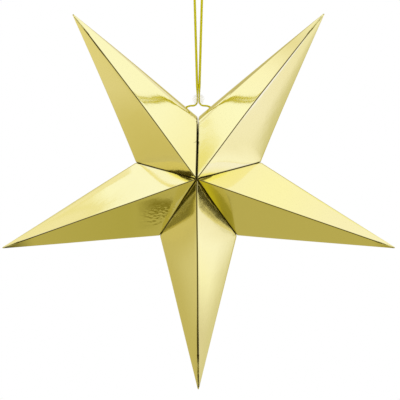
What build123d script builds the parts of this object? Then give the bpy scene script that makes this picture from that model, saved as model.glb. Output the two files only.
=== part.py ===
"""Hanging five-pointed star of gold foil card.

Five hollow arms, each folded from one sheet, are glued side by side by flaps in their valleys.
The two upper arms meet in an open seam, which a cord closes: each end of the cord goes through a
hole beside the top notch and is knotted inside, and a clear bead holds its two strands together.

Millimetres, +Z up, the star's front towards -Y. The origin is the inside top of the cord's loop,
where the hook bears. An arm is made along +Z from the star's centre and then turned into place.
"""

import math
import os

from build123d import *

# Star outline
arm_count = 5
star_width = 450.0  # across the two side tips
notch_radius = 75.0  # from the star's centre to each notch between two arms
half_depth = 100.0  # from the star's middle plane to its front or back peak
hang_drop = 222.0  # from the hook down to the star's centre

# Card of the arms
card = 0.35  # thickness
side_bend_radius = 16.0  # soft bend along an arm's glued side, level with the star's centre
open_bend_radius = 58.0  # the same beside the open seam, where the card springs to a wider bend
tip_width = 1.2  # blunt end of an arm
closed_bend_radius = 0.5  # where a soft bend is this tight, the layers close up to a solid tip
seam_gap = 1.2  # open seam between the two upper arms

# Glue flaps: two in each valley side, and one that closes each arm along its back ridge
flap_width = 9.0
flap_peak_inset = 12.0  # from the star's peak, along the valley
flap_notch_inset = 9.0  # from where the valley starts to bend, along the valley
flap_end_slope = 45.0  # degrees
closing_flap_tip_inset = 40.0  # from the arm's tip
closing_flap_base_inset = 24.0  # from the star's centre

# Cord and the holes for it
cord_diameter = 2.0
hole_diameter = 3.2
hole_from_notch = 18.5  # along the arm's side
hole_lead = 2.0  # straight out of the card before the strand turns to the bead
strand_gap = 0.15  # between the two strands inside the bead
loop_width = 9.0  # across the corners of the loop's top, between centre lines
loop_bend_share = 0.93  # of half the loop's width
bead_turn_radius = 2.6  # where a strand leaves the bead
wide_bend_share = 0.45  # of the shorter run, for any other bend
knot_diameter = 6.0
knot_clearance = 0.3  # from knot to card

# Clear bead
bead_diameter = 13.5
bead_height = 10.0
bead_rise = 21.0  # from the notch up to the bead's centre
bead_clearance = 0.1  # from cord to bore
bead_rim_chamfer = 0.5

overrun = 5.0  # by which a cutting shape passes what it cuts

# Worked out from the sizes above
half_arm = math.pi / arm_count
tip_radius = star_width / 2 / math.sin(2 * half_arm)
notch_along = notch_radius * math.cos(half_arm)
notch_across = notch_radius * math.sin(half_arm)
side_slope = (notch_across - tip_width / 2) / (tip_radius - notch_along)
side_lean = math.atan(side_slope)
base_half_width = tip_width / 2 + side_slope * tip_radius
apex = Vector(0, 0, base_half_width / side_slope)  # where an arm's sides and ridges would meet
ridge_lean = math.atan(half_depth / apex.Z)
front_ridge = Vector(0, -math.sin(ridge_lean), -math.cos(ridge_lean))  # from the apex
bead_level = notch_radius + bead_rise - hang_drop
strand_offset = (cord_diameter + strand_gap) / 2


def behind(point):
    """The same place on the back half of an arm."""
    return Vector(point.X, -point.Y, point.Z)


class SideBend:
    """Soft bend along one side of an arm: part of a cone, which the flat facets touch."""

    def __init__(self, side, radius):
        lean = math.atan((base_half_width - radius) / apex.Z)
        self.side = side
        self.half_angle = side_lean - lean
        self.axis = Vector(side * math.sin(lean), 0, -math.cos(lean))
        self.outward = Vector(side * math.cos(lean), 0, math.sin(lean))
        # The front facet holds the ridge and touches the cone, which gives its turn about the ridge
        rise = math.sin(ridge_lean) * math.cos(lean)
        run = math.sin(lean)
        turn = math.atan2(run, rise) + math.asin(math.sin(self.half_angle) / math.hypot(rise, run))
        ahead = math.sin(turn) * math.cos(ridge_lean)
        self.facing = Vector(side * math.cos(turn), -ahead, math.sin(turn) * math.sin(ridge_lean))
        self.touch = (self.axis + self.facing * math.sin(self.half_angle)) / math.cos(self.half_angle)
        self.sweep = 2 * math.degrees(math.asin(ahead / math.cos(self.half_angle)))

    def height_at(self, radius):
        """Height where the bend has a given radius."""
        return apex.Z + self.touch.Z * radius / math.sin(self.half_angle)

    def cone_point(self, inset):
        return apex + self.axis * (inset / math.sin(self.half_angle))

    def end(self, height, inset):
        """Front, outermost and back point of the bend's end at a height."""
        point = self.cone_point(inset)
        length = (height - point.Z) / self.touch.Z
        front = point + self.touch * length
        centre = point + self.axis * (length * math.cos(self.half_angle))
        outermost = centre + self.outward * (length * math.sin(self.half_angle))
        return front, outermost, behind(front)

    def wall(self, low, high, inset):
        edge = Edge.make_line(self.end(high, inset)[0], self.end(low, inset)[0])
        return Face.revolve(edge, self.sweep, Axis(self.cone_point(inset), self.axis * -self.side))

    def lid(self, height, inset):
        """Flat end of the bend, from its arc to its chord."""
        front, outermost, back = self.end(height, inset)
        return Face(Wire([Edge.make_three_point_arc(front, outermost, back), Edge.make_line(back, front)]))


def ridge_point(bends, height, inset):
    """Point of the front ridge at a height, where the two front facets meet."""
    right, left = [bend.facing for bend in bends]
    start = apex - (right + left) * (inset / (1 + right.dot(left)))
    return start + front_ridge * ((height - start.Z) / front_ridge.Z)


def arm_form(bends, low, high, inset):
    """Closed form of an arm between two heights, set in from the card's outside."""
    right, left = bends
    faces = []
    for bend in bends:
        low_front, high_front = [bend.end(height, inset)[0] for height in (low, high)]
        low_ridge, high_ridge = [ridge_point(bends, height, inset) for height in (low, high)]
        facet = [low_ridge, low_front, high_front, high_ridge]
        faces.append(Face(Wire.make_polygon(facet)))
        faces.append(Face(Wire.make_polygon([behind(point) for point in facet])))
        faces.append(bend.wall(low, high, inset))
    for height in (low, high):
        faces += [bend.lid(height, inset) for bend in bends]
        ridge = ridge_point(bends, height, inset)
        front_half = [left.end(height, inset)[0], ridge, right.end(height, inset)[0]]
        faces.append(Face(Wire.make_polygon(front_half + [behind(point) for point in front_half[::-1]])))
    return Solid(Shell(faces))


def radial_plane(side, setback):
    """Plane where an arm meets its neighbour, facing away from the arm. X runs out to the notch."""
    outward = Vector(side * math.sin(half_arm), 0, math.cos(half_arm))
    facing = Vector(side * math.cos(half_arm), 0, -math.sin(half_arm))
    return Plane(origin=facing * -setback, x_dir=outward, z_dir=facing)


def valley_flap(plane, bend, depth_side):
    """Flap folded in along one valley, against the neighbour's. depth_side is 1 or -1 on the plane."""
    spread = math.tan(half_arm)
    length = apex.Z * spread / (abs(bend.touch.X) - bend.touch.Z * spread)
    bend_out = abs(bend.touch.X) * length / math.sin(half_arm)
    peak = Vector(0, half_depth)
    valley = Vector(bend_out, -bend.touch.Y * length) - peak
    along = valley.normalized()
    inward = Vector(along.Y, -along.X)
    slant = 1 / math.tan(math.radians(flap_end_slope))
    points = []
    for fold in (-overrun, flap_width):
        near = flap_peak_inset + fold * slant
        far = valley.length - flap_notch_inset - fold * slant
        ends = (near, far) if fold < 0 else (far, near)
        points += [peak + along * end + inward * fold for end in ends]
    outline = Polyline(*[(p.X, p.Y * depth_side) for p in points], close=True)
    return extrude(plane * make_face(outline), amount=-card)


def closing_flap(bends):
    """Flap inside the back ridge, by which the two long edges of an arm's sheet are glued."""
    top = tip_radius - closing_flap_tip_inset
    layer = arm_form(bends, 0, top, card) - arm_form(bends, -overrun, top + overrun, 2 * card)
    corners = [(0, closing_flap_base_inset), (flap_width, closing_flap_base_inset + flap_width)]
    corners += [(flap_width, top - flap_width), (0, top)]
    strip = Plane.XZ * make_face(Polyline(*corners, close=True))
    return layer & extrude(strip, amount=-half_depth)


def cord_hole(side):
    """Cutter for the cord's hole through the soft bend of one side, beside the notch."""
    along = Vector(-side * math.sin(side_lean), 0, math.cos(side_lean))
    facing = Vector(side * math.cos(side_lean), 0, math.sin(side_lean))
    centre = Vector(side * notch_across, 0, notch_along) + along * hole_from_notch
    plane = Plane(origin=centre - facing * overrun, z_dir=facing)
    return extrude(plane * Circle(hole_diameter / 2), amount=2 * overrun)


def folded_arm(open_side):
    """One arm along +Z from the star's centre. open_side is its side at the open seam, or 0."""
    radii = {side: open_bend_radius if side == open_side else side_bend_radius for side in (1, -1)}
    bends = [SideBend(side, radius) for side, radius in radii.items()]
    closed_height = min(bend.height_at(closed_bend_radius) for bend in bends)
    form = arm_form(bends, 0, tip_radius, 0)
    arm = form - arm_form(bends, -overrun, closed_height, card) + closing_flap(bends)
    for bend in bends:
        plane = radial_plane(bend.side, seam_gap / 2 if bend.side == open_side else 0)
        arm = split(arm, bisect_by=plane, keep=Keep.BOTTOM)
        for depth_side in (-1, 1):
            arm += valley_flap(plane, bend, depth_side) & form
    if open_side:
        arm -= cord_hole(open_side)
    return arm


def hole_place(side):
    """Centre of the cord hole in the upper arm on that side of the star, and where it faces."""
    lean = half_arm + side_lean
    along = Vector(side * math.sin(lean), 0, math.cos(lean))
    notch = Vector(0, 0, notch_radius - hang_drop)
    return notch + along * hole_from_notch, Vector(-side * math.cos(lean), 0, math.sin(lean))


def half_route(side):
    """Points of the cord on one side, from its knot up to the top of the loop."""
    hole, facing = hole_place(side)
    knot = hole - facing * (card + knot_clearance + knot_diameter / 2)
    outside = hole + facing * hole_lead
    below_bead = Vector(side * strand_offset, 0, bead_level - bead_height / 2 - bead_turn_radius)
    above_bead = Vector(side * strand_offset, 0, bead_level + bead_height / 2)
    loop_top = Vector(side * loop_width / 2, 0, cord_diameter / 2)
    return [knot, outside, below_bead, above_bead, loop_top]


def wide_bend(before, corner, after):
    """Largest radius that leaves room for the bends at the other ends of both runs."""
    arriving = corner - before
    leaving = after - corner
    half_turn = math.radians(arriving.get_angle(leaving)) / 2
    return wide_bend_share * min(arriving.length, leaving.length) / math.tan(half_turn)


def hanging_cord():
    """Cord from the knot in one upper arm, through the bead, over the hook and back to the other."""
    left = half_route(-1)
    right = half_route(1)
    route = left + right[::-1]
    at_hole = wide_bend(*left[0:3])
    at_bead_top = wide_bend(*left[2:5])
    bends = [at_hole, bead_turn_radius, at_bead_top, loop_bend_share * loop_width / 2]
    print("cord radii", [round(bend, 2) for bend in bends])
    path = FilletPolyline(*route, radius=bends + bends[::-1])
    start = Plane(origin=route[0], z_dir=route[1] - route[0])
    cord = sweep(start * Circle(cord_diameter / 2), path=path)
    print("cord length", round(path.length, 2), "volume", round(cord.volume, 2))
    for end in (left[0], right[0]):
        cord += Pos(end) * Sphere(knot_diameter / 2)
    return cord


def closing_bead():
    """Clear round bead with flat ends, bored for the two strands side by side."""
    bore_radius = strand_offset + cord_diameter / 2 + bead_clearance
    bead_radius = bead_diameter / 2
    half_height = bead_height / 2
    flat_radius = math.sqrt(bead_radius**2 - half_height**2)
    outline = Polyline((flat_radius, half_height), (bore_radius, half_height), (bore_radius, -half_height))
    outline += Line((bore_radius, -half_height), (flat_radius, -half_height))
    outline += ThreePointArc((flat_radius, -half_height), (bead_radius, 0), (flat_radius, half_height))
    profile = make_face(outline)
    profile = chamfer(profile.vertices(), bead_rim_chamfer)
    return Pos(0, 0, bead_level) * revolve(Plane.XZ * profile, axis=Axis.Z)


plain_arm = folded_arm(0)
arm_turn = 360 / arm_count  # degrees, clockwise as seen from the front
places = {
    "arm_upper_right": (arm_turn / 2, folded_arm(-1)),
    "arm_right": (arm_turn * 3 / 2, plain_arm),
    "arm_bottom": (arm_turn * 5 / 2, plain_arm),
    "arm_left": (arm_turn * 7 / 2, plain_arm),
    "arm_upper_left": (arm_turn * 9 / 2, folded_arm(1)),
}
nodes = {name: Pos(0, 0, -hang_drop) * Rot(0, turn, 0) * arm for name, (turn, arm) in places.items()}
nodes["hanging_cord"] = hanging_cord()
nodes["closing_bead"] = closing_bead()

os.makedirs("parts", exist_ok=True)
for name, solid in nodes.items():
    export_step(solid, f"parts/{name}.step")
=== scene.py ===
"""Hanging five-pointed star of mirror-gold foil card, on a twisted gold cord with a clear bead.

The five folded arms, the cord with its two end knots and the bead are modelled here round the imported
CAD part, in metres, +Z up, with the star's front towards -Y. The origin is the inside top of the
cord's loop, where the hook bears.
"""

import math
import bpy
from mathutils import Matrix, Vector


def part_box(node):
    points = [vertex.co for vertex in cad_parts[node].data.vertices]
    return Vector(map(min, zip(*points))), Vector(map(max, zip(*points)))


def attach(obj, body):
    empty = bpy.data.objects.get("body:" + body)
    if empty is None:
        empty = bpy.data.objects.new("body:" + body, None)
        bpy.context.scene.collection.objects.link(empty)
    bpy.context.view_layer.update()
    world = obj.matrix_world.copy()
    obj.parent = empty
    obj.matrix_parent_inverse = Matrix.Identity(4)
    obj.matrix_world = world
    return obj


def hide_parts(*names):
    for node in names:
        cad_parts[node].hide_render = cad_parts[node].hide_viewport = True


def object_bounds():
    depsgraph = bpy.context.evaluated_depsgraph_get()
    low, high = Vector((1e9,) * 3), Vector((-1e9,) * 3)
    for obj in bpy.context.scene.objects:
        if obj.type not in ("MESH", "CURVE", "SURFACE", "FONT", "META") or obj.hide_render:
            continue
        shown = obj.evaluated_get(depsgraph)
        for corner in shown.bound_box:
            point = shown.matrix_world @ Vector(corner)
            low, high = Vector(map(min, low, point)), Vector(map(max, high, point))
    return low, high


bl_info = {
    "name": "Hanging Foil Star",
    "version": (1, 0, 0),
    "blender": (4, 5, 0),
    "location": "3D View > Sidebar > Foil Star",
    "description": "Builds a hanging star of folded foil card, its cord, its bead and a plain studio",
    "category": "Add Mesh",
}

import bmesh
import bpy
from bpy.props import FloatProperty, FloatVectorProperty, IntProperty, PointerProperty
from mathutils import Matrix, Vector, noise

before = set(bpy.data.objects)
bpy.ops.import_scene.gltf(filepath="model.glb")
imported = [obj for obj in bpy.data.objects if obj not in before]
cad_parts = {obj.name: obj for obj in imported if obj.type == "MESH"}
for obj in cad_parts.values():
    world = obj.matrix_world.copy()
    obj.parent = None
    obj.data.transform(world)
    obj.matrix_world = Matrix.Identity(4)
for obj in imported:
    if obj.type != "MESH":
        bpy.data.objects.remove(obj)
cad_box = [list(corner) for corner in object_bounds()]

# Star outline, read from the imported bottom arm, which hangs straight down from the star's centre
arm_low, arm_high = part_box("arm_bottom")
arm_count = 5
half_arm = math.pi / arm_count
centre_height = arm_high.z
half_depth = arm_high.y
tip_radius = arm_high.z - arm_low.z
notch_across = arm_high.x
notch_radius = notch_across / math.sin(half_arm)
tip_half_width = 0.0006
side_slope = (notch_across - tip_half_width) / (tip_radius - notch_radius * math.cos(half_arm))
base_half_width = tip_half_width + side_slope * tip_radius
tip_scale = tip_half_width / base_half_width

# Each arm's turn about the star's axis, clockwise from the front, and its side at the open seam
arm_places = {
    "arm_upper_right": (half_arm, -1),
    "arm_right": (3 * half_arm, 0),
    "arm_bottom": (5 * half_arm, 0),
    "arm_left": (7 * half_arm, 0),
    "arm_upper_left": (9 * half_arm, 1),
}

# Route of the cord's right half, as in the part's source: end knot, outside of the hole, under the
# bead, over the bead and the loop's top. The two points marked added lie on the long straight strand.
right_route = [
    (0.01650, 0.0, -0.13787),
    (0.01286, 0.0, -0.13355),
    (0.00108, 0.0, -0.13360),
    (0.00108, 0.0, -0.12100),
    (0.00143, 0.0, -0.10840),  # added
    (0.00418, 0.0, -0.01100),  # added
    (0.00450, 0.0, 0.00100),
]
hole_centre = Vector((0.01415, 0.0, -0.13508))
points_per_turn = 12  # of the strands' twist
bead_low, bead_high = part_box("closing_bead")

# Fineness of the arms' mesh, as cuts or segments
facet_cuts = 9
length_cuts = 71
side_segments = 14
crease_segments = 4
valley_segments = 2
hole_segments = 3
crumple_cuts = 6

# How the card gives. A higher side power keeps a drawn-in valley to its fold, and a lower length
# power keeps it to the peak.
upper_length_power = 0.33
left_length_power = 0.3
right_length_power = 0.5
wide_side_power = 2
narrow_side_power = 5
sharp_side_power = 18
bow_start_share = 0.8  # of the notch radius, where the panels begin to bow
bow_ramp_share = 0.6  # of the notch radius, over which the bow grows
bow_power = 4  # a higher one brings the bow closer to the panel's side
sideways_from, sideways_to = -0.7, 0.1  # range of a panel's upward facing that counts as sideways
near_droop_share = 0.5  # of the side arms' droop that is already there at the notches
back_seam_shift = 0.0016  # how far the open seam's back stands to the right
wave_scale = 11  # slow waves of the card per metre

# Crumpled place on the front of the left arm, measured from the star's centre
crumpled_arm = "arm_left"
crumple_place = Vector((-0.0390, -0.0400, -0.036))
crumple_valley_turn = -4 * half_arm  # turn of the valley beside it
crumple_strip = half_arm / 3  # turn from the valley within which the mesh is fine too
crumple_edge = math.radians(5)  # turn from the valley over which the dents fade in
dent_scales = (250, 330, 460)  # waves of the dents per metre

near_zero = 1e-6
in_plane = 1e-5  # how near to a plane a point counts as lying in it
# Painted shade: the foil is darkened along the middle of each crease and valley fold that this attribute
# marks
worn_name = "worn"  # mesh attribute, 1 along the middle of a crease


def even_shade(*shade):
    """Stops of a card that has one shade all over."""
    return [(0.0, shade), (1.0, shade)]


def faded_shade(shade, *stops):
    """Stops of a card that has one shade, each with its share of the way and its cover."""
    return [(share, (*shade, cover)) for share, cover in stops]


# Cards that the star's facets mirror, out of the camera's sight: centre measured from the star's
# centre, size, and turns about X and Z
card_places = {
    "left_card": ((-0.90, 0.55, -0.50), (0.8, 1.4), 90, 90),
    "right_card": ((0.90, 0.43, -0.50), (0.56, 1.4), 90, 90),
    "left_flag": ((-0.89, 0.09, 0.22), (0.50, 0.56), 90, 90),
    "right_flag": ((0.89, 0.09, 0.32), (0.50, 0.26), 90, 90),
    "low_card": ((0.0, 0.30, -0.38), (1.0, 0.92), 0, 90),
    "top_card": ((0.0, 0.28, 0.80), (0.76, 2.2), 0, 90),
    "left_glow": ((-0.885, 0.23, -0.15), (0.26, 0.20), 90, 90),
    "left_upper_glow": ((-0.885, 0.25, 0.79), (0.36, 0.34), 90, 90),
    "right_glow": ((0.885, 0.20, -0.11), (0.24, 0.26), 90, 90),
    "low_flag_left": ((-0.11, -0.01, -0.375), (0.19, 0.11), 0, 90),
    "low_right_shade": ((0.155, 0.0, -0.375), (0.20, 0.19), 0, 90),
    "crumple_flag": ((-0.030, 0.124, -0.376), (0.026, 0.064), 0, 90),
    "valley_flag": ((-0.405, 0.09, -0.376), (0.12, 0.31), 0, 90),
    "right_peak_shade": ((0.88, 0.215, -0.57), (0.14, 0.36), 90, 90),
    "left_low_flag": ((-0.88, 0.2875, -0.5525), (0.075, 0.215), 90, 90),
    "edge_card": ((0.0, 0.412, 0.797), (0.056, 1.12), 0, 90),
    "mid_card": ((0.0, 0.57, 0.795), (0.26, 0.88), 0, 90),
    "far_card": ((0.0, 0.85, 0.79), (0.30, 2.2), 0, 90),
    "peak_card": ((-0.575, 0.325, 0.796), (0.06, 0.13), 0, 90),
    "right_shade": ((0.88, 0.59, -0.11), (0.40, 0.26), 90, 90),
    "right_low_shade": ((0.88, 0.62, -0.52), (0.40, 0.56), 90, 90),
    "left_shade": ((-0.88, 0.59, -0.41), (0.40, 0.31), 90, 90),
    "left_far_shade": ((-0.80, 0.613, 0.788), (0.15, 0.42), 0, 90),
    "back_card": ((0.0, 1.00, 0.0), (3.0, 3.0), 90, 0),
}

# Stops of each card's shades: share of the way, and the colour, with its cover where that isn't whole.
# They run up the card's own height, across the width of a card whose name ends in shade, and outwards
# from the middle of the back card.
card_shades = {
    "left_card": [
        (0.00, (0.34, 0.29, 0.10)),
        (0.40, (0.34, 0.29, 0.10)),
        (0.50, (0.48, 0.42, 0.23)),
        (0.56, (0.62, 0.57, 0.46)),
        (0.62, (0.69, 0.64, 0.58)),
        (0.64, (0.69, 0.64, 0.58)),
        (0.665, (0.61, 0.54, 0.36)),
        (0.69, (0.61, 0.54, 0.34)),
        (0.738, (0.66, 0.59, 0.42)),
        (0.77, (0.75, 0.69, 0.64)),
        (0.85, (0.79, 0.72, 0.60)),
        (1.00, (0.88, 0.83, 0.80)),
    ],
    "right_card": [
        (0.00, (0.51, 0.50, 0.75)),
        (0.30, (0.67, 0.67, 1.10)),
        (0.44, (0.82, 0.82, 1.50)),
        (0.50, (0.74, 0.70, 0.85)),
        (0.54, (0.73, 0.69, 0.84)),
        (0.60, (1.00, 1.00, 1.42)),
        (0.65, (1.02, 1.03, 1.68)),
        (0.675, (0.95, 0.93, 1.40)),
        (0.73, (0.94, 0.92, 1.46)),
        (0.78, (0.92, 0.89, 1.30)),
        (0.81, (0.89, 0.87, 1.20)),
        (1.00, (1.02, 1.05, 1.58)),
    ],
    "left_flag": even_shade(0.06, 0.05, 0.02),
    "right_flag": even_shade(0.20, 0.18, 0.10),
    "low_card": [
        (0.00, (0.51, 0.47, 0.58)),
        (0.04, (0.06, 0.05, 0.02)),
        (0.20, (0.05, 0.04, 0.02)),
        (0.23, (0.30, 0.25, 0.03)),
        (0.25, (0.32, 0.27, 0.05)),
        (0.28, (0.49, 0.44, 0.25)),
        (0.50, (0.49, 0.44, 0.25)),
        (0.58, (0.43, 0.39, 0.17)),
        (0.72, (0.48, 0.43, 0.23)),
        (0.755, (0.10, 0.09, 0.04)),
        (0.86, (0.08, 0.07, 0.03)),
        (0.905, (0.08, 0.07, 0.03)),
        (0.94, (0.24, 0.21, 0.08)),
        (1.00, (0.30, 0.27, 0.10)),
    ],
    "top_card": [
        (0.00, (1.02, 1.05, 1.67)),
        (0.16, (0.99, 0.97, 1.42)),
        (0.22, (1.02, 1.02, 1.27)),
        (0.27, (1.00, 0.99, 1.30)),
        (0.31, (1.02, 1.05, 1.62)),
        (0.58, (1.02, 1.05, 1.67)),
        (0.625, (0.84, 0.79, 0.92)),
        (0.655, (1.02, 1.02, 1.52)),
        (0.70, (1.03, 1.07, 1.64)),
        (0.735, (1.02, 1.04, 1.55)),
        (0.78, (1.02, 1.05, 1.67)),
        (0.81, (1.02, 1.05, 1.58)),
        (0.83, (0.93, 0.90, 1.03)),
        (0.87, (0.90, 0.86, 1.03)),
        (1.00, (1.02, 1.05, 1.67)),
    ],
    "left_glow": even_shade(0.68, 0.62, 0.50),
    "left_upper_glow": even_shade(1.05, 1.12, 2.80),
    "right_glow": even_shade(1.00, 1.03, 2.50),
    "low_flag_left": even_shade(0.52, 0.50, 0.58),
    "low_right_shade": [
        (0.66, (0.53, 0.50, 0.083)),
        (0.755, (0.405, 0.365, 0.072)),
        (0.81, (0.313, 0.284, 0.083)),
    ],
    "crumple_flag": faded_shade((0.20, 0.17, 0.03), (0.0, 0.6), (0.25, 1.0), (0.60, 1.0), (1.0, 0.0)),
    "valley_flag": even_shade(0.05, 0.045, 0.015),
    "right_peak_shade": [
        (0.76, (0.05, 0.045, 0.03, 1.0)),
        (0.84, (0.16, 0.145, 0.11, 0.9)),
        (0.93, (0.40, 0.37, 0.35, 0.0)),
    ],
    "left_low_flag": [
        (0.0, (0.42, 0.40, 0.45)),
        (0.42, (0.37, 0.345, 0.36)),
        (0.56, (0.27, 0.25, 0.15)),
        (0.72, (0.13, 0.115, 0.055)),
        (0.80, (0.20, 0.18, 0.06)),
        (0.90, (0.36, 0.32, 0.14)),
    ],
    "edge_card": [(0.4, (0.97, 0.96, 1.45)), (0.6, (0.76, 0.71, 0.80))],
    "mid_card": [(0.4, (0.87, 0.85, 1.20)), (0.6, (0.54, 0.49, 0.42))],
    "far_card": [
        (0.20, (0.90, 0.88, 1.10)),
        (0.35, (0.87, 0.85, 1.20)),
        (0.50, (0.60, 0.55, 0.50)),
        (0.70, (0.54, 0.49, 0.42)),
        (0.78, (0.79, 0.75, 0.80)),
    ],
    "peak_card": faded_shade((0.86, 0.81, 0.52), (0.0, 0.1), (0.25, 1.0)),
    "right_shade": faded_shade((0.66, 0.63, 0.65), (0.0, 0.0), (0.05, 0.25), (0.15, 1.0)),
    "right_low_shade": faded_shade((0.70, 0.67, 0.74), (0.01, 0.0), (0.14, 0.5), (0.225, 1.0)),
    "left_shade": faded_shade((0.56, 0.50, 0.33), (0.0, 0.0), (0.2, 0.6), (0.36, 1.0)),
    "left_far_shade": [
        (0.01, (0.83, 0.78, 0.57, 0.0)),
        (0.06, (0.83, 0.78, 0.57, 1.0)),
        (0.20, (0.92, 0.88, 1.02, 1.0)),
    ],
    "back_card": [
        (0.00, (0.70, 0.64, 0.42)),
        (0.33, (0.64, 0.58, 0.35)),
        (0.57, (0.56, 0.50, 0.27)),
        (0.80, (0.60, 0.54, 0.32)),
        (0.92, (0.84, 0.79, 0.60)),
        (1.00, (1.00, 1.00, 0.95)),
    ],
}


class FoilCardSettings(bpy.types.PropertyGroup):
    """Card, folds and finish of the five arms."""

    thickness: FloatProperty(
        name="Card", description="Thickness of the card", default=0.00035, unit="LENGTH"
    )
    side_bend: FloatProperty(
        name="Side bend",
        description="Radius of the soft bend along a glued side, level with the star's centre",
        default=0.016,
        unit="LENGTH",
    )
    open_bend: FloatProperty(
        name="Open bend",
        description="Radius of the soft bend beside the open seam, level with the star's centre",
        default=0.058,
        unit="LENGTH",
    )
    crease: FloatProperty(
        name="Crease", description="Half width of a ridge's crease", default=0.0012, unit="LENGTH"
    )
    lower_crease: FloatProperty(
        name="Lower crease",
        description="Half width of the bottom arm's creases",
        default=0.0019,
        unit="LENGTH",
    )
    valley_fold: FloatProperty(
        name="Valley fold",
        description="Half width of the fold at a valley",
        default=0.0013,
        unit="LENGTH",
    )
    seam_gap: FloatProperty(
        name="Seam", description="Open seam between the upper arms", default=0.0012, unit="LENGTH"
    )
    hole: FloatProperty(
        name="Hole", description="Diameter of the cord's holes", default=0.0032, unit="LENGTH"
    )
    sag: FloatProperty(
        name="Sag",
        description="How far the lower valleys are drawn in, most of it near the peak",
        default=0.003,
        unit="LENGTH",
    )
    upper_sag: FloatProperty(
        name="Upper sag",
        description="How far the glued upper valleys are drawn in, most of it near the peak",
        default=0.0034,
        unit="LENGTH",
    )
    spread: FloatProperty(
        name="Spread",
        description="How far the upper arms' tips lean outwards, as a share of their place",
        subtype="FACTOR",
        default=0.040,
    )
    reach: FloatProperty(
        name="Reach",
        description="How much higher the upper arms' tips stand, as a share of their place",
        subtype="FACTOR",
        default=0.014,
    )
    bow: FloatProperty(
        name="Bow",
        description="How far the panels bulge towards their sides, level with the star's centre",
        default=0.0017,
        unit="LENGTH",
    )
    bulge: FloatProperty(
        name="Bulge",
        description="How far the panels that face sideways bulge, level with the star's centre",
        default=0.0015,
        unit="LENGTH",
    )
    droop: FloatProperty(
        name="Droop",
        description="How far the tips of the side arms hang down",
        default=0.0018,
        unit="LENGTH",
    )
    warp: FloatProperty(
        name="Warp", description="Depth of the card's slow waves", default=0.0005, unit="LENGTH"
    )
    seed: IntProperty(
        name="Seed", description="Picks one pattern of the card's slow waves", default=4, min=1
    )
    crumple: FloatProperty(
        name="Crumple",
        description="Reach of the crumpled place on the left arm",
        default=0.027,
        unit="LENGTH",
    )
    dent: FloatProperty(
        name="Dent",
        description="Depth of the dents in the crumpled place",
        default=0.0002,
        unit="LENGTH",
    )
    colour: FloatVectorProperty(
        name="Foil",
        description="Colour of the foil",
        subtype="COLOR",
        size=3,
        default=(0.95, 0.88, 0.30),
    )
    # Near-black painted shade along the middle of the creases and valley folds
    worn_colour: FloatVectorProperty(
        name="Crease shade",
        description="Colour of the foil where a crease has cracked it",
        subtype="COLOR",
        size=3,
        default=(0.10, 0.075, 0.015),
    )
    roughness: FloatProperty(
        name="Roughness", description="Blur of the foil's reflections", subtype="FACTOR", default=0.08
    )
    grain: FloatProperty(
        name="Grain", description="Depth of the foil's faint unevenness", default=0.0006, unit="LENGTH"
    )


class CordSettings(bpy.types.PropertyGroup):
    """Twisted cord and its end knots."""

    diameter: FloatProperty(
        name="Diameter", description="Diameter of the cord", default=0.002, unit="LENGTH"
    )
    fullness: FloatProperty(
        name="Fullness",
        description="Diameter over the strands, as a share of the cord's own",
        subtype="FACTOR",
        default=1.5,
    )
    squeeze: FloatProperty(
        name="Squeeze",
        description="How much thinner the cord is drawn inside the bead",
        subtype="FACTOR",
        default=0.35,
    )
    strands: IntProperty(name="Strands", description="Strands twisted into the cord", default=4)
    pitch: FloatProperty(
        name="Pitch", description="Length of one turn of the twist", default=0.0058, unit="LENGTH"
    )
    knot: FloatProperty(
        name="Knot", description="Diameter of an end knot", default=0.006, unit="LENGTH"
    )
    colour: FloatVectorProperty(
        name="Thread",
        description="Colour of the metallic thread",
        subtype="COLOR",
        size=3,
        default=(0.70, 0.64, 0.006),
    )


class BeadSettings(bpy.types.PropertyGroup):
    """Clear bead that holds the two strands together."""

    bore: FloatProperty(
        name="Bore", description="Diameter of the bead's bore", default=0.00435, unit="LENGTH"
    )
    haze: FloatProperty(
        name="Haze", description="How much of the bead's own tint shows", subtype="FACTOR", default=0.10
    )
    colour: FloatVectorProperty(
        name="Tint",
        description="Tint of the plastic",
        subtype="COLOR",
        size=3,
        default=(0.92, 0.86, 0.66),
    )


class StageSettings(bpy.types.PropertyGroup):
    """Camera, floor and soft light."""

    distance: FloatProperty(
        name="Distance", description="From the camera to the star", default=2.5, unit="LENGTH"
    )
    elevation: FloatProperty(
        name="Elevation",
        description="Height of the camera's view above level",
        subtype="ANGLE",
        default=math.radians(-1.9),
    )
    azimuth: FloatProperty(
        name="Azimuth",
        description="The camera's turn to the right of the star's front",
        subtype="ANGLE",
        default=math.radians(1.05),
    )
    frame_width: FloatProperty(
        name="Frame", description="Width of the view at the star", default=0.4592, unit="LENGTH"
    )
    aim_right: FloatProperty(
        name="Aim right",
        description="The view's centre beside the star's",
        default=0.00195,
        unit="LENGTH",
    )
    aim_drop: FloatProperty(
        name="Aim drop", description="The view's centre below the star's", default=0.020, unit="LENGTH"
    )
    floor_drop: FloatProperty(
        name="Floor", description="Floor below the star's lowest tip", default=0.55, unit="LENGTH"
    )
    floor_radius: FloatProperty(
        name="Floor radius", description="Radius of the floor", default=15, unit="LENGTH"
    )
    floor_colour: FloatVectorProperty(
        name="Floor colour",
        description="Colour of the floor below the star",
        subtype="COLOR",
        size=3,
        default=(0.9, 0.9, 0.89),
    )
    shadow_inner: FloatProperty(
        name="Shadow", description="Radius where the floor begins to fade", default=0.35, unit="LENGTH"
    )
    shadow_outer: FloatProperty(
        name="White", description="Radius where the floor is white", default=0.95, unit="LENGTH"
    )
    front_light: FloatProperty(
        name="Front light", description="Strength of the soft light from the front", default=0.3
    )
    back_light: FloatProperty(
        name="Back light", description="Strength of the soft light from behind", default=1.6
    )


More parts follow.
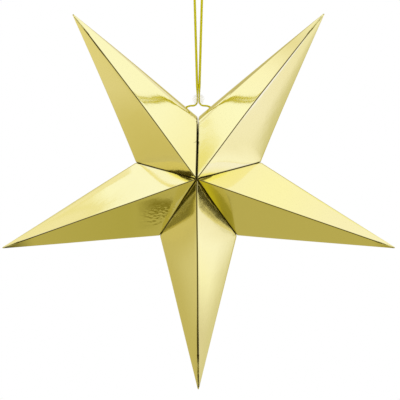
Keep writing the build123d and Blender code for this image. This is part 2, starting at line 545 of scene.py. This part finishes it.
def smooth_object(name, bm, material):
    """New object of a finished bmesh, smooth shaded, riding on the part."""
    mesh = bpy.data.meshes.new(name)
    bm.to_mesh(mesh)
    bm.free()
    mesh.materials.append(material)
    mesh.shade_smooth()
    piece = bpy.data.objects.new(name, mesh)
    bpy.context.scene.collection.objects.link(piece)
    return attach(piece, "root")


def principled(name, **sockets):
    """New material with values set on its shader, and the shader and node tree for more."""
    material = bpy.data.materials.new(name)
    material.use_nodes = True
    shader = material.node_tree.nodes["Principled BSDF"]
    for socket, value in sockets.items():
        shader.inputs[socket.replace("_", " ")].default_value = value
    return material, shader, material.node_tree


def foil_material(settings):
    """Mirror-gold foil on card: a slightly blurred metal with a faint unevenness of its own, darkened
    with painted shade along the middle of the creases and valley folds.
    """
    material, shader, tree = principled("gold_foil", Metallic=1.0, Roughness=settings.roughness)
    # Painted shade: the marked middle of each crease and valley fold mixes the foil towards a near-black
    # colour
    worn = tree.nodes.new("ShaderNodeAttribute")
    worn.attribute_name = worn_name
    colour = tree.nodes.new("ShaderNodeMix")
    colour.data_type = "RGBA"
    colour.inputs["A"].default_value = (*settings.colour, 1)
    colour.inputs["B"].default_value = (*settings.worn_colour, 1)
    tree.links.new(worn.outputs["Fac"], colour.inputs["Factor"])
    tree.links.new(colour.outputs["Result"], shader.inputs["Base Color"])
    place = tree.nodes.new("ShaderNodeTexCoord")
    grain = tree.nodes.new("ShaderNodeTexNoise")
    grain.inputs["Scale"].default_value = 90  # grains per metre
    grain.inputs["Detail"].default_value = 3
    bump = tree.nodes.new("ShaderNodeBump")
    bump.inputs["Strength"].default_value = 0.06
    bump.inputs["Distance"].default_value = settings.grain
    tree.links.new(place.outputs["Object"], grain.inputs["Vector"])
    tree.links.new(grain.outputs["Fac"], bump.inputs["Height"])
    tree.links.new(bump.outputs["Normal"], shader.inputs["Normal"])
    return material


def thread_material(settings):
    """Satin metallic thread."""
    material, shader, _ = principled("gold_thread", Metallic=0.35, Roughness=0.4)
    shader.inputs["Base Color"].default_value = (*settings.colour, 1)
    shader.inputs["Specular IOR Level"].default_value = 0.2
    return material


def bead_material(settings):
    """Clear plastic."""
    material, shader, _ = principled("clear_plastic", Roughness=0.3, Alpha=settings.haze)
    shader.inputs["Base Color"].default_value = (*settings.colour, 1)
    return material


def facet_slope(radius):
    """Steepness of the flat facets across an arm that touch a side bend of a given radius."""
    bend_centre = base_half_width - radius
    reach = math.hypot(half_depth, bend_centre)
    return math.tan(math.acos(radius / reach) - math.atan2(bend_centre, half_depth))


def round_side(bm, corner, slope):
    """Rounds a side corner of an arm's section until its outermost point is at the arm's side."""
    mid_arc_share = 2 - math.sqrt(2)
    overshoot = abs(corner.co.x) - base_half_width
    reach = overshoot / (mid_arc_share * math.cos(math.atan(slope)))
    bmesh.ops.bevel(
        bm,
        geom=[corner],
        offset=reach,
        affect="VERTICES",
        segments=side_segments,
        profile=0.5,
        material=-1,
    )


def radial_plane(side, setback):
    """Point and facing of the plane where an arm meets its neighbour on one side."""
    facing = Vector((side * math.cos(half_arm), 0, -math.sin(half_arm)))
    return facing * -setback, facing


def cut_away(bm, origin, facing):
    """Cuts off what lies beyond a plane."""
    parts = bm.verts[:] + bm.edges[:] + bm.faces[:]
    bmesh.ops.bisect_plane(
        bm, geom=parts, dist=near_zero, plane_co=origin, plane_no=facing, clear_outer=True
    )


def arm_shell(settings, open_side):
    """Open shell of one arm along +Z from the star's centre, cut to its share of the star."""
    bm = bmesh.new()
    bm.verts.layers.float.new(worn_name)
    slopes = {}
    for side in (1, -1):
        slopes[side] = facet_slope(settings.open_bend if side == open_side else settings.side_bend)
    front = bm.verts.new((0, -half_depth, 0))
    right = bm.verts.new((half_depth / slopes[1], 0, 0))
    back = bm.verts.new((0, half_depth, 0))
    left = bm.verts.new((-half_depth / slopes[-1], 0, 0))
    bm.faces.new((front, left, back, right))
    round_side(bm, right, slopes[1])
    round_side(bm, left, slopes[-1])
    facets = [edge for vert in (front, back) for edge in vert.link_edges]
    bmesh.ops.subdivide_edges(bm, edges=facets, cuts=facet_cuts)
    tip = bmesh.ops.extrude_discrete_faces(bm, faces=bm.faces[:])["faces"][0]
    bmesh.ops.scale(bm, vec=(tip_scale, tip_scale, 1), verts=tip.verts[:])
    bmesh.ops.translate(bm, vec=(0, 0, tip_radius), verts=tip.verts[:])
    lengthwise = []
    for edge in bm.edges:
        if abs(edge.verts[0].co.z - edge.verts[1].co.z) > tip_radius / 2:
            lengthwise.append(edge)
    bmesh.ops.subdivide_edges(bm, edges=lengthwise, cuts=length_cuts, use_grid_fill=True)
    for side in (1, -1):
        origin, facing = radial_plane(side, settings.seam_gap / 2 if side == open_side else 0)
        cut_away(bm, origin, facing)
    bmesh.ops.recalc_face_normals(bm, faces=bm.faces[:])
    return bm


def fold_creases(bm, width):
    """Gives the front and back ridges their narrow rounded crease."""
    ridge = [edge for edge in bm.edges if all(abs(vert.co.x) < near_zero for vert in edge.verts)]
    ridge = [edge for edge in ridge if len(edge.link_faces) == 2]
    crease = bmesh.ops.bevel(
        bm,
        geom=ridge,
        offset=width,
        affect="EDGES",
        segments=crease_segments,
        profile=0.5,
        material=-1,
    )
    # Painted shade along the middle of the ridge's crease
    mark_worn(bm, crease)


def mark_worn(bm, fold):
    """Marks the middle of a new fold, where the foil gets painted shade."""
    worn = bm.verts.layers.float[worn_name]
    strip = set(fold["faces"])
    for vert in fold["verts"]:
        if all(face in strip for face in vert.link_faces):
            vert[worn] = 1


def rim_edges(bm, origin, facing):
    """Open edges that lie in a plane."""
    rim = []
    for edge in bm.edges:
        heights = [abs((vert.co - origin).dot(facing)) for vert in edge.verts]
        if edge.is_boundary and max(heights) < in_plane:
            rim.append(edge)
    return rim


def draw_onto_rim(settings, bm, rim):
    """Draws points that lie close behind a cut edge onto it, so that the fold there comes out even.
    The edge's points are taken in the order of their places, so that each run gives the same fold."""
    beside_ridge = 3 * settings.crease
    too_close = 2 * settings.valley_fold
    rim_verts = {vert for edge in rim for vert in edge.verts}
    onto = {}
    for vert in sorted(rim_verts, key=lambda vert: tuple(vert.co)):
        for edge in vert.link_edges:
            other = edge.other_vert(vert)
            apart = abs(other.co.x) > beside_ridge
            if apart and other not in rim_verts and edge.calc_length() < too_close:
                onto[other] = vert
    bmesh.ops.weld_verts(bm, targetmap=onto)


def punch_hole(settings, bm, open_side):
    """Punches the cord's round hole in the soft side of an upper arm, beside the open seam."""
    spot = Vector((-open_side * hole_centre.x, 0, hole_centre.z - centre_height))
    spot.rotate(Matrix.Rotation(open_side * half_arm, 3, "Y"))
    heart = min(bm.verts, key=lambda vert: (vert.co - spot).length)
    heart.co = spot
    radius = settings.hole / 2
    disc = bmesh.ops.bevel(
        bm,
        geom=[heart],
        offset=radius,
        affect="VERTICES",
        segments=hole_segments,
        profile=0.5,
        material=-1,
    )
    inside = set(disc["faces"])
    for vert in disc["verts"]:
        if any(face not in inside for face in vert.link_faces):
            vert.co = spot + (vert.co - spot).normalized() * radius
    bmesh.ops.delete(bm, geom=disc["faces"], context="FACES")


def fold_valleys(settings, bm, open_side):
    """Folds the cut edges in along the planes between the arms, as the glue flaps do."""
    flap_share = 0.84  # of the cut edge's size, where a flap ends
    heart_share = 0.4  # of the notch radius, the middle of a flap
    for side in (1, -1):
        setback = settings.seam_gap / 2 if side == open_side else 0
        origin, facing = radial_plane(side, setback)
        heart = Vector((side * math.sin(half_arm), 0, math.cos(half_arm))) * (notch_radius * heart_share)
        if side != open_side:
            draw_onto_rim(settings, bm, rim_edges(bm, origin, facing))
        rim = rim_edges(bm, origin, facing)
        folded = bmesh.ops.extrude_edge_only(bm, edges=rim)["geom"]
        flap_verts = [item for item in folded if isinstance(item, bmesh.types.BMVert)]
        for vert in flap_verts:
            vert.co = heart + (vert.co - heart) * flap_share - facing * settings.thickness
        fold = bmesh.ops.bevel(
            bm,
            geom=rim,
            offset=settings.valley_fold,
            affect="EDGES",
            segments=valley_segments,
            profile=0.5,
            material=-1,
        )
        # Painted shade along the middle of the valley fold
        mark_worn(bm, fold)


def bow_panel(settings, point, turn):
    """Bulges an arm's panels beyond the notches, while the outline stays: those that face sideways
    over their whole width, the others towards their sides."""
    width = base_half_width + (tip_half_width - base_half_width) * point.z / tip_radius
    share = min(1, abs(point.x) / width)
    outside = (math.hypot(point.x, point.z) / notch_radius - bow_start_share) / bow_ramp_share
    fullness = width / base_half_width * min(1, max(0, outside))
    facing = -math.sin(turn) * math.copysign(1, point.x)
    if sideways_from < facing < sideways_to:
        rise = settings.bulge * math.sin(math.pi * share)
    else:
        rise = settings.bow * math.sin(math.pi * share**bow_power)
    point.y += math.copysign(fullness * rise, point.y)


def valley_depth(settings, radius, turn):
    """How far the glued valley nearest to a place on the star draws the card in there."""
    valley_turn = 2 * half_arm * round(turn / (2 * half_arm))
    if abs(valley_turn) < near_zero or radius >= notch_radius:
        return 0
    if abs(valley_turn) < 3 * half_arm:
        sag, length_power, side_power = settings.upper_sag, upper_length_power, wide_side_power
    elif valley_turn < 0:
        sag, length_power = settings.sag, left_length_power
        side_power = wide_side_power if turn < valley_turn else sharp_side_power
    else:
        sag, length_power = settings.sag, right_length_power
        side_power = wide_side_power if turn < valley_turn else narrow_side_power
    share = radius / notch_radius
    nearness = 1 - abs(turn - valley_turn) / half_arm
    return sag * math.sin(math.pi * share**length_power) * nearness**side_power


def arm_share(turn, arm_turn):
    """1 along the middle of an arm and its mirror image, fading to 0 at their valleys."""
    return max(0, 1 - abs(abs(turn) - arm_turn) / half_arm)


def card_form(settings, point):
    """Where a point of the ideal folded star comes to lie in the real, slightly slack card."""
    radius = math.hypot(point.x, point.z)
    turn = math.atan2(point.x, point.z)
    place = point.copy()
    depth = valley_depth(settings, radius, turn)
    place.y -= math.copysign(min(depth, abs(point.y)), point.y)
    out = max(0, radius - notch_radius) / (tip_radius - notch_radius)
    upper = arm_share(turn, half_arm)
    place.x *= 1 + settings.spread * out * upper
    place.z *= 1 + settings.reach * out * upper
    hang = min(1, radius / notch_radius) * (near_droop_share + (1 - near_droop_share) * out)
    place.z -= settings.droop * hang * arm_share(turn, 3 * half_arm)
    if point.y > 0 and abs(turn) < half_arm:
        place.x += back_seam_shift * (1 - abs(turn) / half_arm) * min(1, point.y / half_depth)
    wave = noise.noise_vector(point * wave_scale)
    place += wave * settings.warp * (1 - out)
    return place


def past_valley(point):
    """A point's turn from the valley beside the crumpled place."""
    return math.atan2(point.x, point.z) - crumple_valley_turn


def refine_crumple(settings, bm):
    """Divides the front faces around the crumpled place and beside its valley, so that they can take
    the dents and the fold. The flaps, which stand edge on to the front, stay as they are."""
    front_facing = 0.3  # least part of a face's normal that points straight to the front
    near = set()
    for face in bm.faces:
        middle = face.calc_center_median()
        beside_valley = 0 < past_valley(middle) < crumple_strip
        in_reach = (middle - crumple_place).length < settings.crumple
        in_front = middle.y < 0 and abs(face.normal.y) > front_facing
        if in_front and (beside_valley or in_reach):
            near.add(face)
    edges = [edge for edge in bm.edges if any(face in near for face in edge.link_faces)]
    bmesh.ops.subdivide_edges(bm, edges=edges, cuts=crumple_cuts, use_grid_fill=True)


def crumple_card(settings, bm):
    """Presses the dents, which fade out around the place and at the valley beside it."""
    for vert in bm.verts:
        fade = 1 - ((vert.co - crumple_place).length / settings.crumple) ** 2
        beyond = past_valley(vert.co)
        if fade > 0 and beyond > 0:
            fade *= min(1, beyond / crumple_edge)
            wave = noise.noise(Vector(a * b for a, b in zip(vert.co, dent_scales)))
            vert.co.y += settings.dent * fade * wave


def build_arm(settings, material, name, turn, open_side):
    """Folds one arm, lets its card give and turns it to its place in the star."""
    bm = arm_shell(settings, open_side)
    fold_creases(bm, settings.lower_crease if name == "arm_bottom" else settings.crease)
    fold_valleys(settings, bm, open_side)
    if open_side:
        punch_hole(settings, bm, open_side)
    bmesh.ops.recalc_face_normals(bm, faces=bm.faces[:])
    for vert in bm.verts:
        bow_panel(settings, vert.co, turn)
    bmesh.ops.rotate(bm, verts=bm.verts[:], matrix=Matrix.Rotation(turn, 3, "Y"))
    if name == crumpled_arm:
        refine_crumple(settings, bm)
    for vert in bm.verts:
        vert.co = card_form(settings, vert.co)
    if name == crumpled_arm:
        crumple_card(settings, bm)
    bmesh.ops.translate(bm, vec=(0, 0, centre_height), verts=bm.verts[:])
    arm = smooth_object("foil_" + name, bm, material)
    card = arm.modifiers.new("card", "SOLIDIFY")
    card.thickness = settings.thickness
    card.offset = -1
    normals = arm.modifiers.new("flat_facets", "WEIGHTED_NORMAL")
    normals.weight = 90
    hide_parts(name)


def spline_points(route):
    """Points read along a smooth spline whose control points are the route."""
    curve = bpy.data.curves.new("cord_route", "CURVE")
    curve.dimensions = "3D"
    spline = curve.splines.new("NURBS")
    spline.points.add(len(route) - 1)
    for control, place in zip(spline.points, route):
        control.co = (*place, 1)
    spline.order_u = 3
    spline.use_endpoint_u = True
    spline.resolution_u = 48
    carrier = bpy.data.objects.new("cord_route", curve)
    bpy.context.scene.collection.objects.link(carrier)
    mesh = bpy.data.meshes.new_from_object(carrier)
    points = [vert.co.copy() for vert in mesh.vertices]
    bpy.data.objects.remove(carrier)
    bpy.data.curves.remove(curve)
    bpy.data.meshes.remove(mesh)
    return points


def even_points(points, spacing):
    """The same line with its points an even distance apart."""
    even = [points[0]]
    left_over = spacing
    for start, end in zip(points, points[1:]):
        length = (end - start).length
        while left_over <= length:
            even.append(start.lerp(end, left_over / length))
            left_over += spacing
        left_over -= length
    return even


def bead_share(point):
    """1 at the level of the bead, fading to 0 within a bead's height above and below it."""
    middle = (bead_low.z + bead_high.z) / 2
    height = bead_high.z - bead_low.z
    past_end = abs(point.z - middle) / height - 1 / 2
    return min(1, max(0, 1 - past_end))


def twisted_strands(settings, points):
    """Curve of the cord's strands, wound round its line. The line lies in the plane y = 0."""
    sideways = Vector((0, 1, 0))
    spread = math.sin(math.pi / settings.strands)
    over_strands = settings.diameter * settings.fullness / 2
    strand_radius = over_strands * spread / (1 + spread)
    winding_radius = over_strands - strand_radius
    curve = bpy.data.curves.new("strands", "CURVE")
    curve.dimensions = "3D"
    curve.bevel_depth = strand_radius
    curve.bevel_resolution = 2
    curve.use_fill_caps = True
    spacing = (points[1] - points[0]).length
    for strand in range(settings.strands):
        spline = curve.splines.new("POLY")
        spline.points.add(len(points) - 1)
        for index, point in enumerate(points):
            before = points[max(index - 1, 0)]
            after = points[min(index + 1, len(points) - 1)]
            across = (after - before).normalized().cross(sideways)
            angle = 2 * math.pi * (index * spacing / settings.pitch + strand / settings.strands)
            squeeze = 1 - settings.squeeze * bead_share(point)
            winding = sideways * math.cos(angle) + across * math.sin(angle)
            place = point + winding * winding_radius * squeeze
            place.z = min(place.z, cad_box[1][2] - strand_radius)
            spline.points[index].co = (*place, 1)
            spline.points[index].radius = squeeze
    return curve


class FOILSTAR_OT_tie_cord(bpy.types.Operator):
    """Tie the twisted cord, with its loop and its two end knots"""

    bl_idname = "foilstar.tie_cord"
    bl_label = "Tie Cord"

    def execute(self, context):
        settings = context.scene.foilstar_cord
        material = thread_material(settings)
        left_route = [(-x, y, z) for x, y, z in right_route]
        points = spline_points(left_route + right_route[::-1])
        points = even_points(points, settings.pitch / points_per_turn)
        curve = twisted_strands(settings, points)
        carrier = bpy.data.objects.new("strands", curve)
        context.scene.collection.objects.link(carrier)
        mesh = bpy.data.meshes.new_from_object(carrier)
        bpy.data.objects.remove(carrier)
        mesh.name = "twisted_cord"
        mesh.materials.clear()
        mesh.materials.append(material)
        mesh.shade_smooth()
        cord = bpy.data.objects.new("twisted_cord", mesh)
        context.scene.collection.objects.link(cord)
        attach(cord, "root")
        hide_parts("hanging_cord")
        knots = [self.add_knot(settings, material, side) for side in (-1, 1)]
        return {"FINISHED"}

    def add_knot(self, settings, material, side):
        """End knot inside the card, out of sight: a tight ball at the cord's end."""
        name = "end_knot_left" if side < 0 else "end_knot_right"
        x, y, z = right_route[0]
        ball_share = 0.42  # the tight ball's radius, of the knot's diameter
        bm = bmesh.new()
        bmesh.ops.create_uvsphere(bm, u_segments=20, v_segments=12, radius=settings.knot * ball_share)
        bmesh.ops.translate(bm, vec=(side * x, y, z), verts=bm.verts[:])
        knot = smooth_object(name, bm, material)
        return knot


class FOILSTAR_OT_thread_bead(bpy.types.Operator):
    """Turn the clear bead that holds the two strands together"""

    bl_idname = "foilstar.thread_bead"
    bl_label = "Thread Bead"

    def execute(self, context):
        settings = context.scene.foilstar_bead
        middle = (bead_low + bead_high) / 2
        radius = (bead_high.x - bead_low.x) / 2
        half_height = (bead_high.z - bead_low.z) / 2
        steps = 64
        upright = Matrix.Rotation(math.pi / 2, 4, "X")
        bm = bmesh.new()
        bmesh.ops.create_circle(bm, segments=steps, radius=radius, matrix=upright)
        cut_away(bm, (0, 0, half_height), (0, 0, 1))
        cut_away(bm, (0, 0, -half_height), (0, 0, -1))
        cut_away(bm, (settings.bore / 2, 0, 0), (-1, 0, 0))
        bmesh.ops.contextual_create(bm, geom=bm.verts[:])
        bmesh.ops.spin(
            bm,
            geom=bm.edges[:],
            cent=(0, 0, 0),
            axis=(0, 0, 1),
            steps=steps,
            angle=2 * math.pi,
            use_merge=True,
        )
        bmesh.ops.remove_doubles(bm, verts=bm.verts[:], dist=near_zero)
        bmesh.ops.recalc_face_normals(bm, faces=bm.faces[:])
        bmesh.ops.translate(bm, vec=middle, verts=bm.verts[:])
        bead = smooth_object("clear_bead", bm, bead_material(settings))
        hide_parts("closing_bead")
        return {"FINISHED"}


class FOILSTAR_OT_fold_arms(bpy.types.Operator):
    """Fold the five arms of foil card"""

    bl_idname = "foilstar.fold_arms"
    bl_label = "Fold Arms"

    def execute(self, context):
        settings = context.scene.foilstar_card
        material = foil_material(settings)
        noise.seed_set(settings.seed)
        for name, (turn, open_side) in arm_places.items():
            build_arm(settings, material, name, turn, open_side)
        return {"FINISHED"}


class FOILSTAR_OT_set_stage(bpy.types.Operator):
    """Set the camera, the soft light, the pale floor and the cards that the star mirrors"""

    bl_idname = "foilstar.set_stage"
    bl_label = "Set Stage"

    def execute(self, context):
        settings = context.scene.foilstar_stage
        self.add_camera(context, settings)
        self.light_world(context, settings)
        self.add_floor(context, settings)
        for name in card_places:
            self.add_card(context, name)
        context.scene.view_settings.view_transform = "Standard"
        return {"FINISHED"}

    def add_camera(self, context, settings):
        """Camera in front of the star, with the view's centre moved a little off the star's."""
        camera = bpy.data.cameras.new("camera")
        camera.sensor_width = 36
        camera.lens = camera.sensor_width * settings.distance / settings.frame_width
        camera.clip_end = 50
        holder = bpy.data.objects.new("camera", camera)
        context.scene.collection.objects.link(holder)
        level = math.cos(settings.elevation)
        side, front = math.sin(settings.azimuth), math.cos(settings.azimuth)
        back = Vector((side * level, -front * level, math.sin(settings.elevation)))
        turn = (-back).to_track_quat("-Z", "Y")
        aim = turn @ Vector((settings.aim_right, -settings.aim_drop, 0))
        holder.location = Vector((0, 0, centre_height)) + aim + back * settings.distance
        holder.rotation_euler = turn.to_euler()
        context.scene.camera = holder

    def light_world(self, context, settings):
        """White for the camera and for what mirrors or shows through; softer light, most of it from
        behind the star, on the rest."""
        world = bpy.data.worlds.new("studio")
        world.use_nodes = True
        tree = world.node_tree
        rays = tree.nodes.new("ShaderNodeLightPath")
        seen = rays.outputs["Is Camera Ray"]
        for ray in ("Is Glossy Ray", "Is Transmission Ray"):
            both = tree.nodes.new("ShaderNodeMath")
            both.operation = "MAXIMUM"
            tree.links.new(seen, both.inputs[0])
            tree.links.new(rays.outputs[ray], both.inputs[1])
            seen = both.outputs[0]
        place = tree.nodes.new("ShaderNodeTexCoord")
        depth = tree.nodes.new("ShaderNodeSeparateXYZ")
        soft = tree.nodes.new("ShaderNodeMapRange")
        soft.inputs["From Min"].default_value = -1.0
        soft.inputs["To Min"].default_value = settings.front_light
        soft.inputs["To Max"].default_value = settings.back_light
        level = tree.nodes.new("ShaderNodeMapRange")
        level.inputs["To Max"].default_value = 1.0
        tree.links.new(place.outputs["Generated"], depth.inputs[0])
        tree.links.new(depth.outputs["Y"], soft.inputs["Value"])
        tree.links.new(soft.outputs["Result"], level.inputs["To Min"])
        tree.links.new(seen, level.inputs["Value"])
        background = tree.nodes["Background"]
        background.inputs["Color"].default_value = (1, 1, 1, 1)
        tree.links.new(level.outputs["Result"], background.inputs["Strength"])
        context.scene.world = world

    def stage_object(self, context, name, bm, material):
        """New object of a finished bmesh that belongs to the stage."""
        mesh = bpy.data.meshes.new(name)
        bm.to_mesh(mesh)
        bm.free()
        mesh.materials.append(material)
        thing = bpy.data.objects.new(name, mesh)
        context.scene.collection.objects.link(thing)
        return thing

    def add_floor(self, context, settings):
        """Pale floor that takes the star's shadow and fades to white further out."""
        bm = bmesh.new()
        bmesh.ops.create_circle(bm, cap_ends=True, segments=96, radius=settings.floor_radius)
        bmesh.ops.translate(bm, vec=(0, 0, arm_low.z - settings.floor_drop), verts=bm.verts[:])
        material, shader, tree = principled("pale_floor", Roughness=0.9)
        shader.inputs["Base Color"].default_value = (*settings.floor_colour, 1)
        white = tree.nodes.new("ShaderNodeEmission")
        place = tree.nodes.new("ShaderNodeTexCoord")
        flat = tree.nodes.new("ShaderNodeVectorMath")
        flat.operation = "MULTIPLY"
        flat.inputs[1].default_value = (1, 1, 0)
        reach = tree.nodes.new("ShaderNodeVectorMath")
        reach.operation = "LENGTH"
        fade = tree.nodes.new("ShaderNodeMapRange")
        fade.interpolation_type = "SMOOTHSTEP"
        fade.inputs["From Min"].default_value = settings.shadow_inner
        fade.inputs["From Max"].default_value = settings.shadow_outer
        mix = tree.nodes.new("ShaderNodeMixShader")
        output = tree.nodes["Material Output"]
        tree.links.new(place.outputs["Object"], flat.inputs[0])
        tree.links.new(flat.outputs["Vector"], reach.inputs[0])
        tree.links.new(reach.outputs["Value"], fade.inputs["Value"])
        tree.links.new(fade.outputs["Result"], mix.inputs[0])
        tree.links.new(shader.outputs["BSDF"], mix.inputs[1])
        tree.links.new(white.outputs["Emission"], mix.inputs[2])
        tree.links.new(mix.outputs["Shader"], output.inputs["Surface"])
        self.stage_object(context, "floor", bm, material)

    def add_card(self, context, name):
        """Card beside the star, out of the camera's sight, that gives its facets their shades."""
        centre, size, tilt, turn = card_places[name]
        material = bpy.data.materials.new(name)
        material.use_nodes = True
        tree = material.node_tree
        tree.nodes.clear()
        place = tree.nodes.new("ShaderNodeTexCoord")
        ramp = tree.nodes.new("ShaderNodeValToRGB")
        glow = tree.nodes.new("ShaderNodeEmission")
        output = tree.nodes.new("ShaderNodeOutputMaterial")
        stops = ramp.color_ramp.elements
        shades = card_shades[name]
        while len(stops) < len(shades):
            stops.new(1)
        for stop, (share, shade) in zip(stops, shades):
            stop.position = share
            stop.color = (*shade, 1) if len(shade) == 3 else shade
        if name == "back_card":
            reach = tree.nodes.new("ShaderNodeVectorMath")
            reach.operation = "DISTANCE"
            reach.inputs[1].default_value = (0.5, 0.5, 0)
            whole = tree.nodes.new("ShaderNodeMath")
            whole.operation = "MULTIPLY"
            whole.inputs[1].default_value = 2
            tree.links.new(place.outputs["UV"], reach.inputs[0])
            tree.links.new(reach.outputs["Value"], whole.inputs[0])
            tree.links.new(whole.outputs[0], ramp.inputs["Fac"])
        else:
            along = tree.nodes.new("ShaderNodeSeparateXYZ")
            axis = "X" if name.endswith("_shade") else "Y"
            tree.links.new(place.outputs["UV"], along.inputs[0])
            tree.links.new(along.outputs[axis], ramp.inputs["Fac"])
        tree.links.new(ramp.outputs["Color"], glow.inputs["Color"])
        clear = tree.nodes.new("ShaderNodeBsdfTransparent")
        mix = tree.nodes.new("ShaderNodeMixShader")
        tree.links.new(ramp.outputs["Alpha"], mix.inputs[0])
        tree.links.new(clear.outputs["BSDF"], mix.inputs[1])
        tree.links.new(glow.outputs["Emission"], mix.inputs[2])
        tree.links.new(mix.outputs["Shader"], output.inputs["Surface"])
        bm = bmesh.new()
        bm.loops.layers.uv.new("UVMap")
        bmesh.ops.create_grid(bm, x_segments=1, y_segments=1, size=0.5, calc_uvs=True)
        bmesh.ops.scale(bm, vec=(*size, 1), verts=bm.verts[:])
        for angle, axis in ((tilt, "X"), (turn, "Z")):
            rotation = Matrix.Rotation(math.radians(angle), 3, axis)
            bmesh.ops.rotate(bm, verts=bm.verts[:], matrix=rotation)
        middle = Vector(centre) + Vector((0, 0, centre_height))
        bmesh.ops.translate(bm, vec=middle, verts=bm.verts[:])
        card = self.stage_object(context, name, bm, material)
        card.visible_camera = False
        card.visible_diffuse = False
        card.visible_shadow = False
        card.visible_transmission = False


class FOILSTAR_PT_builder(bpy.types.Panel):
    """Steps that build the star"""

    bl_idname = "FOILSTAR_PT_builder"
    bl_label = "Hanging Foil Star"
    bl_space_type = "VIEW_3D"
    bl_region_type = "UI"
    bl_category = "Foil Star"

    def draw(self, context):
        for operator in operators:
            self.layout.operator(operator.bl_idname)


settings_groups = {
    "foilstar_card": FoilCardSettings,
    "foilstar_cord": CordSettings,
    "foilstar_bead": BeadSettings,
    "foilstar_stage": StageSettings,
}
operators = (
    FOILSTAR_OT_thread_bead,
    FOILSTAR_OT_tie_cord,
    FOILSTAR_OT_fold_arms,
    FOILSTAR_OT_set_stage,
)
classes = (*settings_groups.values(), *operators, FOILSTAR_PT_builder)


def register():
    for item in classes:
        bpy.utils.register_class(item)
    for name, group in settings_groups.items():
        setattr(bpy.types.Scene, name, PointerProperty(type=group))


def unregister():
    for name in settings_groups:
        delattr(bpy.types.Scene, name)
    for item in reversed(classes):
        bpy.utils.unregister_class(item)


def main():
    register()
    bpy.ops.foilstar.thread_bead()
    bpy.ops.foilstar.tie_cord()
    bpy.ops.foilstar.fold_arms()
    bpy.ops.foilstar.set_stage()


if __name__ == "__main__":
    main()
